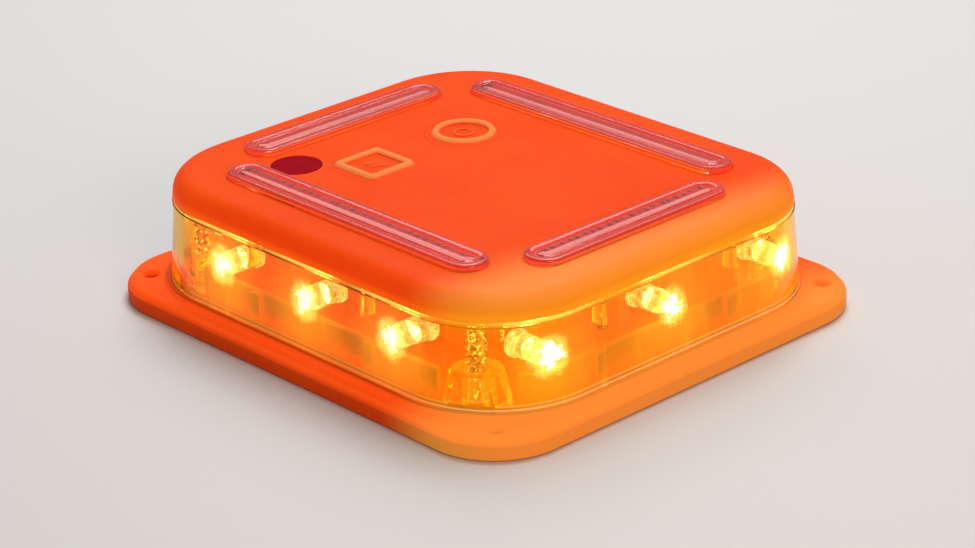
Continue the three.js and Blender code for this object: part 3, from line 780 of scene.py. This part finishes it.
    def glow(self, *layers):
        """Sums layers of glow, each given as a mask, a colour and a strength."""
        total = (0.0, 0.0, 0.0)
        for mask, color, strength in layers:
            layer = self.blend(mask, (0.0, 0.0, 0.0), tuple(c * strength for c in color))
            total = self.blend(1.0, total, layer, "ADD")
        self.wire(total, self.shader.inputs["Emission Color"])
        self.shader.inputs["Emission Strength"].default_value = 1.0


DEEP_ORANGE = (0.86, 0.062, 0.003)
BRIGHT_ORANGE = (0.90, 0.082, 0.005)
# Colours of painted light: the LEDs' light laid on as glow where it would fall.
AMBER_LIGHT = (1.0, 0.31, 0.002)
YELLOW_LIGHT = (1.0, 0.62, 0.05)


def satin_orange(name):
    """Satin moulded plastic: slow colour drift, faint pale scuffs, smudged gloss and a fine grain."""
    n = Nodes(name, BRIGHT_ORANGE, 0.45, Specular_IOR_Level=0.03)
    base = n.ramp(n.noise(38, 4), [(0.3, DEEP_ORANGE), (0.7, BRIGHT_ORANGE)])
    scuffs = n.span(n.noise(300, 6, 0.75, (0.35, 1.6, 1)), 0.66, 0.74, 0.0, 0.12)
    n.paint(n.blend(scuffs, base, (1.0, 0.24, 0.08)))
    n.roughen(n.span(n.noise(160, 5, 0.65), 0.3, 0.7, 0.38, 0.55))
    n.bump(n.noise(2600, 2), 0.10, 0.0002)
    return n


def painted_warm_light(n):
    """Mask for painted warm light: 1 at the +X end of the case and 0 beyond the middle."""
    x, y, _ = n.axes()
    slanted = n.math("ADD", x, n.math("MULTIPLY", y, -0.12))
    return n.above(slanted, 34, 53)


def cap_plastic():
    """The cap, with painted light: an amber glow inside, a glow of warm light soaking one end, and a painted
    highlight on its raised beads.
    """
    n = satin_orange("cap_orange")
    gap, height = n.lens_gap(), n.axes()[2]
    outside = n.above(gap, -CAP_INSET - 0.2, -CAP_INSET + 0.2)
    within = n.both(n.opposite(outside), n.below(height, CAP_CEILING + 0.1, CAP_CEILING + 0.3))
    side = n.both(outside, n.below(height, CAP_BOTTOM + 1.5, CAP_TOP + 0.4, 0.15))
    brim = n.both(outside, n.below(height, CAP_BOTTOM + 0.4, CAP_BOTTOM + 2))
    slot = n.both(n.opposite(outside), n.below(height, CAP_TOP - 0.2, CAP_TOP - 0.1))
    bead = n.above(height, CAP_TOP + 0.05, CAP_TOP + 0.6)
    warm = painted_warm_light(n)
    painted_red_side = n.both(side, n.opposite(warm))
    # Painted light, laid on as glow: amber and yellow inside the lens, red on the holes' walls in place of
    # their shade, a glow on the lower rim, red along the side away from the warm end, warm light at that
    # end, a highlight on the raised beads, and a faint glow all over.
    n.glow((within, AMBER_LIGHT, 0.36),
           (n.both(within, n.led_glow(6, 24)), YELLOW_LIGHT, 0.30),
           (n.both(slot, n.opposite(within)), (1.0, 0.06, 0.02), 0.40),
           (brim, (0.7, 0.40, 0.0), 0.12),
           (painted_red_side, (1.0, 0.04, 0.0), 0.34),
           (n.both(warm, n.opposite(side)), (0.4, 0.95, 0.21), 0.22),
           (n.both(warm, side), (1.0, 0.95, 0.03), 0.21),
           (bead, (0.4, 0.52, 0.17), 0.38),
           (1.0, (1.0, 0.055, 0.002), 0.03))
    return n.material


def tray_plastic():
    """The tray, with painted light: an amber glow where it lies inside the lens, and light spilling over the
    lip around it.
    """
    n = satin_orange("tray_orange")
    gap, height = n.lens_gap(), n.axes()[2]
    up = n.above(height, FLOOR_TOP - 0.3, FLOOR_TOP - 0.1)
    within = n.both(n.below(gap, 0.0, 0.1), up)
    outside = n.both(n.above(gap, 0.0, 0.1), n.above(height, 0.05, 0.3))
    spill = n.both(n.below(gap, 0.0, 2.8), n.above(height, FLANGE_TOP - 0.4, LIP_TOP - 0.2))
    near = n.led_glow(10, 30)
    edge = n.both(n.above(gap, 0.8, 1.8), n.above(height, 2.6, 4.0))
    # Painted light, laid on as glow: amber and yellow inside the lens, light spilling over the lip, a
    # painted highlight along the flange's upper edge, and warm light at one end.
    n.glow((within, AMBER_LIGHT, 0.38),
           (n.both(within, near), YELLOW_LIGHT, 0.15),
           (n.both(spill, outside), (1.0, 0.12, 0.01), 0.20),
           (edge, (1.0, 0.10, 0.01), 0.46),
           (n.both(outside, painted_warm_light(n)), (0.8, 0.85, 0.13), 0.20))
    return n.material


def stain(n, color, density):
    """Colours the light that passes through a clear material."""
    volume = n.add("ShaderNodeVolumeAbsorption")
    volume.inputs["Color"].default_value = (*color, 1)
    volume.inputs["Density"].default_value = density
    n.wire(volume.outputs["Volume"], n.tree.nodes["Material Output"].inputs["Volume"])


def amber_lens():
    """Clear amber plastic. The LEDs' light is painted on as glow that breaks up into sparkling, ragged
    patches.
    """
    n = Nodes("amber_lens", (1.0, 0.74, 0.12), 0.03, Transmission_Weight=1.0, IOR=1.45,
              Specular_IOR_Level=0.05, Specular_Tint=(1.0, 0.40, 0.04, 1))
    stain(n, (1.0, 0.70, 0.15), 190)
    n.bump(n.noise(90, 4, 0.6, (1, 1, 0.25)), 0.05, 0.0006)
    gap, height = n.lens_gap(), n.axes()[2]
    ragged_by = 0.0024
    wobble = n.math("MULTIPLY", n.math("SUBTRACT", n.noise(560, 3, 0.6), 0.5), ragged_by)
    grain = n.math("MULTIPLY", n.math("SUBTRACT", n.noise(2400, 2, 0.6), 0.5), ragged_by)
    ragged = n.math("ADD", n.led_distance(), n.math("ADD", wobble, grain))
    inner_face = n.below(gap, -2.0, -1.5)
    bosses = n.below(gap, -4.6, -4.2)
    patch = n.both(n.below(ragged, 3.0, 5.0), inner_face)
    heart = n.math("ADD", ragged, n.math("MULTIPLY", wobble, 1.2))
    core = n.both(n.below(heart, 1.4, 2.8), inner_face)
    foot_line = n.math("ABSOLUTE", n.math("SUBTRACT", height, (LIP_TOP + 0.35) / 1000))
    foot = n.below(foot_line, 0.1, 0.3)
    rim = n.above(height, 22.1, 22.5)
    painted_streaks = n.both(n.span(n.noise(330, 3, 0.6, (1, 1, 0.10)), 0.58, 0.68), inner_face)
    # Painted light, laid on as glow: a halo and hot spots near the LEDs, streaks on the inner face, warm
    # light at one end, a glow on the bosses, and painted highlight lines under the cap and at the foot.
    n.glow((n.led_glow(3, 13), (1.0, 0.45, 0.03), 0.12),
           (painted_streaks, (1.0, 0.62, 0.06), 0.10),
           (painted_warm_light(n), (1.0, 0.62, 0.03), 0.06),
           (patch, (1.0, 0.74, 0.42), 0.85),
           (core, (1.0, 0.88, 1.35), 2.2),
           (n.both(core, painted_warm_light(n)), (1.0, 1.0, 1.0), 5.0),
           (bosses, (1.0, 0.50, 0.06), 0.22),
           (rim, (1.0, 0.42, 0.03), 0.30),
           (n.both(rim, n.led_glow(7, 16)), (1.0, 0.75, 0.15), 0.50),
           (foot, (1.0, 0.70, 0.55), 0.08),
           (n.both(foot, painted_warm_light(n)), (1.0, 0.75, 0.50), 0.18))
    return n.material


def amber_inside():
    """Orange plastic seen through the lens, with the LEDs' light painted on as a cloudy amber glow, yellower
    near each LED.
    """
    n = Nodes("amber_inside", (0.88, 0.17, 0.01), 0.45)
    n.paint(n.ramp(n.noise(120, 4), [(0.3, (0.74, 0.13, 0.006)), (0.7, (0.90, 0.18, 0.012))]))
    n.bump(n.noise(1500, 2), 0.12, 0.0003)
    clouds = n.span(n.noise(130, 4, 0.6, (1, 1, 0.15)), 0.3, 0.7, 0.60, 1.0)
    n.glow((clouds, AMBER_LIGHT, 0.46), (n.led_glow(6, 22), YELLOW_LIGHT, 0.20))
    return n.material


def clear_bar():
    """Water-clear plastic with a slight wave in its surface, and a painted red glow low down where it stands
    in the cap.
    """
    n = Nodes("clear_bar", (1.0, 0.86, 0.84), 0.04, Transmission_Weight=0.97, IOR=1.46,
              Specular_IOR_Level=0.15)
    n.roughen(n.span(n.noise(220, 4), 0.3, 0.8, 0.06, 0.12))
    n.bump(n.noise(120, 3, 0.5, (1, 1, 0.3)), 0.02, 0.0005)
    n.glow((n.below(n.axes()[2], CAP_TOP + 0.6, CAP_TOP + 1), (1.0, 0.05, 0.02), 0.16))
    return n.material


def bar_base():
    """The foot of a clear bar: red-orange, with painted light laid on as glow, and small dark dots along the
    side nearer the middle.
    """
    foot_red = (0.85, 0.06, 0.02)
    n = Nodes("bar_base", foot_red, 0.5)
    x, y, _ = n.axes()
    across, along = n.math("ABSOLUTE", x), n.math("ABSOLUTE", y)
    end_bar = n.above(across, 34.0, 34.2)
    inner_long = n.below(along, 30.0, 31.8)
    inner_end = n.below(across, 37.9, 39.7)
    inner = n.math("ADD", n.both(inner_long, n.opposite(end_bar)), n.both(inner_end, end_bar))
    cells = n.add("ShaderNodeTexVoronoi", voronoi_dimensions="2D")
    cells.inputs["Scale"].default_value = 474
    cells.inputs["Randomness"].default_value = 0.4
    n.wire(n.position, cells.inputs["Vector"])
    dots = n.both(n.span(cells.outputs["Distance"], 0.20, 0.32, 0.95, 0.0), inner)
    n.paint(n.blend(dots, foot_red, (0.20, 0.008, 0.006)))
    # Painted light: the glow is brighter towards +X and -Y, drifts at random, and is weaker along the side
    # nearer the middle.
    lit_side = n.span(n.math("SUBTRACT", x, y), -0.045, 0.035, 0.74, 1.0)
    drift = n.both(n.span(n.noise(90, 3), 0.3, 0.7, 0.75, 1.0), lit_side)
    lit = n.math("SUBTRACT", drift, n.math("MULTIPLY", inner, 0.16))
    n.glow((n.both(lit, n.opposite(dots)), (1.0, 0.045, 0.006), 0.54),
           (1.0, (1.0, 0.02, 0.0), 0.13))
    return n.material


def crimson_window():
    """Dark red filter plastic with almost no gloss."""
    n = Nodes("crimson_window", (0.30, 0.0, 0.010), 0.45, Specular_IOR_Level=0.01)
    n.paint(n.ramp(n.noise(300, 3), [(0.35, (0.29, 0.0, 0.006)), (0.7, (0.38, 0.0, 0.012))]))
    n.bump(n.noise(900, 2), 0.03, 0.0002)
    return n.material


def led_resin():
    """The LED's dome: amber resin with light breaking inside it."""
    n = Nodes("led_resin", (1.0, 0.90, 0.65), 0.06, Transmission_Weight=0.8, IOR=1.5)
    flame = n.span(n.noise(650, 3, 0.7), 0.38, 0.66)
    n.glow((1.0, (1.0, 0.45, 0.30), 0.25), (flame, (1.0, 0.62, 1.30), 0.75))
    return n.material


def led_chip():
    """The lit chip and the resin round it, brightest in spots."""
    n = Nodes("led_chip", (1.0, 0.85, 0.5), 0.3)
    n.glow((1.0, (1.0, 0.66, 1.00), 1.4), (n.span(n.noise(900, 2), 0.45, 0.6), (1.0, 0.90, 1.50), 9.0))
    return n.material


def steel(name, color, glow=0.0):
    """Brushed metal. With a glow, the LEDs' light and glints are painted on above the level of the screw
    heads.
    """
    n = Nodes(name, color, 0.26, Metallic=1.0)
    brushed = n.noise(600, 4, 0.6, (1, 1, 8))
    darker = tuple(c * 0.8 for c in color)
    n.roughen(n.span(brushed, 0.3, 0.7, 0.18, 0.4))
    n.paint(n.ramp(brushed, [(0.3, darker), (0.7, color)]))
    n.bump(brushed, 0.08, 0.0002)
    if glow:
        shaft = n.above(n.axes()[2], 4.5, 7.0)
        lit = n.both(n.span(n.noise(900, 3), 0.35, 0.7), shaft)
        glints = n.both(n.span(n.noise(1300, 2), 0.54, 0.62), shaft)
        n.glow((lit, (1.0, 0.34, 0.06), glow), (glints, (1.0, 0.80, 0.50), 1.3))
    return n.material


def moulded(name, color, roughness, scale=900, bump=0.12):
    """Plain moulded plastic or rubber with a fine grain."""
    n = Nodes(name, color, roughness)
    fine = n.noise(scale, 3)
    darker = tuple(c * 0.82 for c in color)
    n.paint(n.ramp(fine, [(0.3, darker), (0.7, color)]))
    patchy = n.span(n.noise(200, 4), 0.3, 0.7, roughness * 0.85, min(1, roughness * 1.15))
    n.roughen(patchy)
    n.bump(fine, bump, 0.0002)
    return n


def strip_mask():
    """The light strip's face: a red mask with a faint painted glow."""
    n = moulded("light_strip_mask", (0.75, 0.07, 0.05), 0.35)
    n.glow((1.0, (1.0, 0.06, 0.04), 0.30))
    return n.material


def silicone():
    """Soft orange seals, with a faint painted glow for light through the case."""
    n = moulded("silicone_seal", (0.80, 0.16, 0.02), 0.55, 400)
    n.glow((1.0, (1.0, 0.16, 0.0), 0.22))
    return n.material


def laminate():
    """Circuit board: warm solder mask with a weave just showing through and fine tracks, and the LEDs' light
    painted on as glow near them.
    """
    n = Nodes("board_laminate", (0.62, 0.24, 0.10), 0.38)
    weave = n.add("ShaderNodeTexWave", wave_type="BANDS", bands_direction="DIAGONAL")
    weave.inputs["Scale"].default_value = 420
    weave.inputs["Distortion"].default_value = 1.5
    n.wire(n.position, weave.inputs["Vector"])
    tracks = n.add("ShaderNodeTexBrick")
    tracks.inputs["Scale"].default_value = 130
    tracks.inputs["Mortar Size"].default_value = 0.03
    n.wire(n.position, tracks.inputs["Vector"])
    mask = n.ramp(weave.outputs["Fac"], [(0.3, (0.50, 0.20, 0.10)), (0.7, (0.58, 0.26, 0.14))])
    n.paint(n.blend(tracks.outputs["Fac"], mask, (0.66, 0.36, 0.20)))
    n.bump(tracks.outputs["Fac"], 0.15, 0.0002)
    n.glow((n.led_glow(6, 22), AMBER_LIGHT, 0.3))
    return n.material


def jacket():
    """The cell's shrink jacket, with bare metal at both ends."""
    blue, metal = (0.03, 0.17, 0.33), (0.6, 0.6, 0.58)
    n = Nodes("cell_jacket", blue, 0.3, Coat_Weight=0.3)
    bare = n.above(n.math("ABSOLUTE", n.axes()[0]), 21.8, 22.1)
    n.paint(n.blend(bare, blue, metal))
    n.wire(bare, n.shader.inputs["Metallic"])
    n.bump(n.noise(500, 2), 0.05, 0.0002)
    return n.material


CAP_ORANGE = cap_plastic()
TRAY_ORANGE = tray_plastic()
DOOR_ORANGE = satin_orange("door_orange").material
AMBER = amber_lens()
INSIDE = amber_inside()
CLEAR = clear_bar()
BAR_BASE = bar_base()
CRIMSON = crimson_window()
LED_RESIN = led_resin()
LED_CHIP = led_chip()
STEEL = steel("screw_steel", (0.72, 0.40, 0.24), 0.45)
CONTACT = steel("contact_steel", (0.62, 0.62, 0.60))
SILICONE = silicone()
BOARD = laminate()
STRIP = strip_mask()
BLACK = moulded("component_black", (0.022, 0.020, 0.020), 0.4).material
JACKET = jacket()


# ------------------------------------------------------------------ assembly
def place(piece, material, body, slot, *nodes):
    """Gives a piece its material and body, and hides the CAD nodes it stands for."""
    if material and not piece.data.materials:
        piece.data.materials.append(material)
    weighted = piece.modifiers.new("normals", "WEIGHTED_NORMAL")
    weighted.keep_sharp = True
    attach(piece, body)
    if nodes:
        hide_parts(*nodes)


def place_screw(node, sizes, point_down=False):
    place(make_screw(node, *sizes, point_down), STEEL, "housing", "steel", node)


def finish_node(node, material):
    """Gives a CAD node that stays in view its material."""
    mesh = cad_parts[node].data
    mesh.materials.clear()
    mesh.materials.append(material)


place(make_cap(), CAP_ORANGE, "housing", "orange", "top_cap")
place(make_lens(), AMBER, "housing", "amber_lens", "lens_ring")
place(make_tray(), TRAY_ORANGE, "housing", "orange", "base_tray")
place(make_fence(), INSIDE, "housing", "orange")
place(make_battery_box(), INSIDE, "housing", "orange")
for i, (x, y) in enumerate(in_corners(POST_AT)):
    place(make_board_post(i + 1, x, y), INSIDE, "housing", "orange")
for node in BARS:
    place(make_bar(node), None, "housing", "clear_bar", node)
place(make_sensor(), CRIMSON, "housing", "sensor_tint", "sensor_window")

buttons = [("power_button", "power_key", BUTTON_ROUND, POWER_AT, 14, power_marks),
           ("mode_button", "mode_key", BUTTON_SQUARE, MODE_AT, 6, mode_marks)]
for node, body, shape, at, steps, marks in buttons:
    place(make_button(node + "_cover", shape, at.xy, steps, marks(at)), CAP_ORANGE, body, "orange", node)
    web = make_web(node + "_web", shape, at.xy, steps)
    web.data.materials.append(CAP_ORANGE)
    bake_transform(web)

for node in LED_NODES:
    place(make_led(node), None, "housing", "led_resin", node)
for i in range(1, 5):
    place_screw(f"case_screw_{i}", CASE_SCREW)
    place_screw(f"board_screw_{i}", BOARD_SCREW, point_down=True)
for i in (1, 2):
    place_screw(f"door_screw_{i}", DOOR_SCREW)

finishes = {
    SILICONE: ["lower_gasket", "upper_gasket", "battery_door_seal"],
    BOARD: ["main_board"],
    STRIP: [node.replace("light_bar", "light_strip") for node in BARS],
    BLACK: ["power_switch", "mode_switch", "power_switch_plunger", "mode_switch_plunger", "light_sensor",
            "controller_chip", "power_inductor"],
    CONTACT: ["reservoir_capacitor", "contact_positive", "contact_negative", "contact_link"],
    JACKET: ["battery_cell_1", "battery_cell_2"],
    DOOR_ORANGE: ["battery_door"],
}
for material, nodes in finishes.items():
    for node in nodes:
        finish_node(node, material)


# ------------------------------------------------------------------ stage, light and camera
def make_floor():
    bpy.ops.mesh.primitive_plane_add(size=6.0, location=(0, 0, -0.0001))
    floor = bpy.context.object
    floor.name = "floor"
    n = Nodes("pale_floor", (0.68, 0.665, 0.65), 0.6)
    floor.data.materials.append(n.material)


def area_light(name, location, target, size, power, color=(1, 1, 1), spread=180):
    """A rectangular light aimed at a point. The power is in watts and the spread in degrees."""
    data = bpy.data.lights.new(name, "AREA")
    data.shape = "RECTANGLE"
    data.size, data.size_y = size
    data.energy = power
    data.color = color
    data.spread = math.radians(spread)
    light = bpy.data.objects.new(name, data)
    bpy.context.scene.collection.objects.link(light)
    light.location = location
    light.rotation_mode = "QUATERNION"
    light.rotation_quaternion = (Vector(target) - Vector(location)).to_track_quat("-Z", "Y")


def make_camera():
    """The viewing angle: a long lens from the front right corner, a little rolled."""
    azimuth, elevation, roll = math.radians(47.608), math.radians(24.112), math.radians(-1.827)
    distance = 0.61605
    back = Vector((math.sin(azimuth) * math.cos(elevation),
                   -math.cos(azimuth) * math.cos(elevation),
                   math.sin(elevation)))
    right = Vector((math.cos(azimuth), math.sin(azimuth), 0))
    up = back.cross(right)
    rolled_right = right * math.cos(roll) + up * math.sin(roll)
    rolled_up = up * math.cos(roll) - right * math.sin(roll)
    data = bpy.data.cameras.new("camera")
    data.sensor_width = 36.0
    data.lens = 110.66
    data.shift_x, data.shift_y = 0.0041, 0.0240
    data.clip_start, data.clip_end = 0.01, 20
    camera = bpy.data.objects.new("camera", data)
    bpy.context.scene.collection.objects.link(camera)
    turn = Matrix((rolled_right, rolled_up, back)).transposed().to_4x4()
    camera.matrix_world = Matrix.Translation(back * distance) @ turn
    bpy.context.scene.camera = camera


def make_light():
    """Soft studio light: a large key, a strip behind, and a narrow warm light on the +X end."""
    world = bpy.data.worlds.new("studio")
    bpy.context.scene.world = world
    world.use_nodes = True
    background = world.node_tree.nodes["Background"]
    background.inputs["Color"].default_value = (0.90, 0.92, 1.0, 1)
    background.inputs["Strength"].default_value = 0.30
    area_light("key", (-0.15, 0.30, 0.80), (0, 0, 0.02), (0.45, 0.45), 4.6)
    area_light("back_strip", (-0.41, 0.376, 0.50), (0, 0, 0.02), (0.55, 0.34), 1.3)
    area_light("warm_side", (0.60, -0.22, 0.30), (0.02, 0, 0.02), (0.30, 0.20), 0.21,
               color=(1.0, 0.74, 0.42), spread=60)


def set_light_paths():
    """Enough bounces to see through the lens to the LEDs, and no caustics."""
    cycles = bpy.context.scene.cycles
    cycles.max_bounces = 12
    cycles.transmission_bounces = 10
    cycles.transparent_max_bounces = 12
    cycles.caustics_refractive = False
    cycles.caustics_reflective = False
    cycles.sample_clamp_indirect = 30.0


bpy.context.scene.view_settings.view_transform = "Standard"
set_light_paths()
make_camera()
make_floor()
make_light()
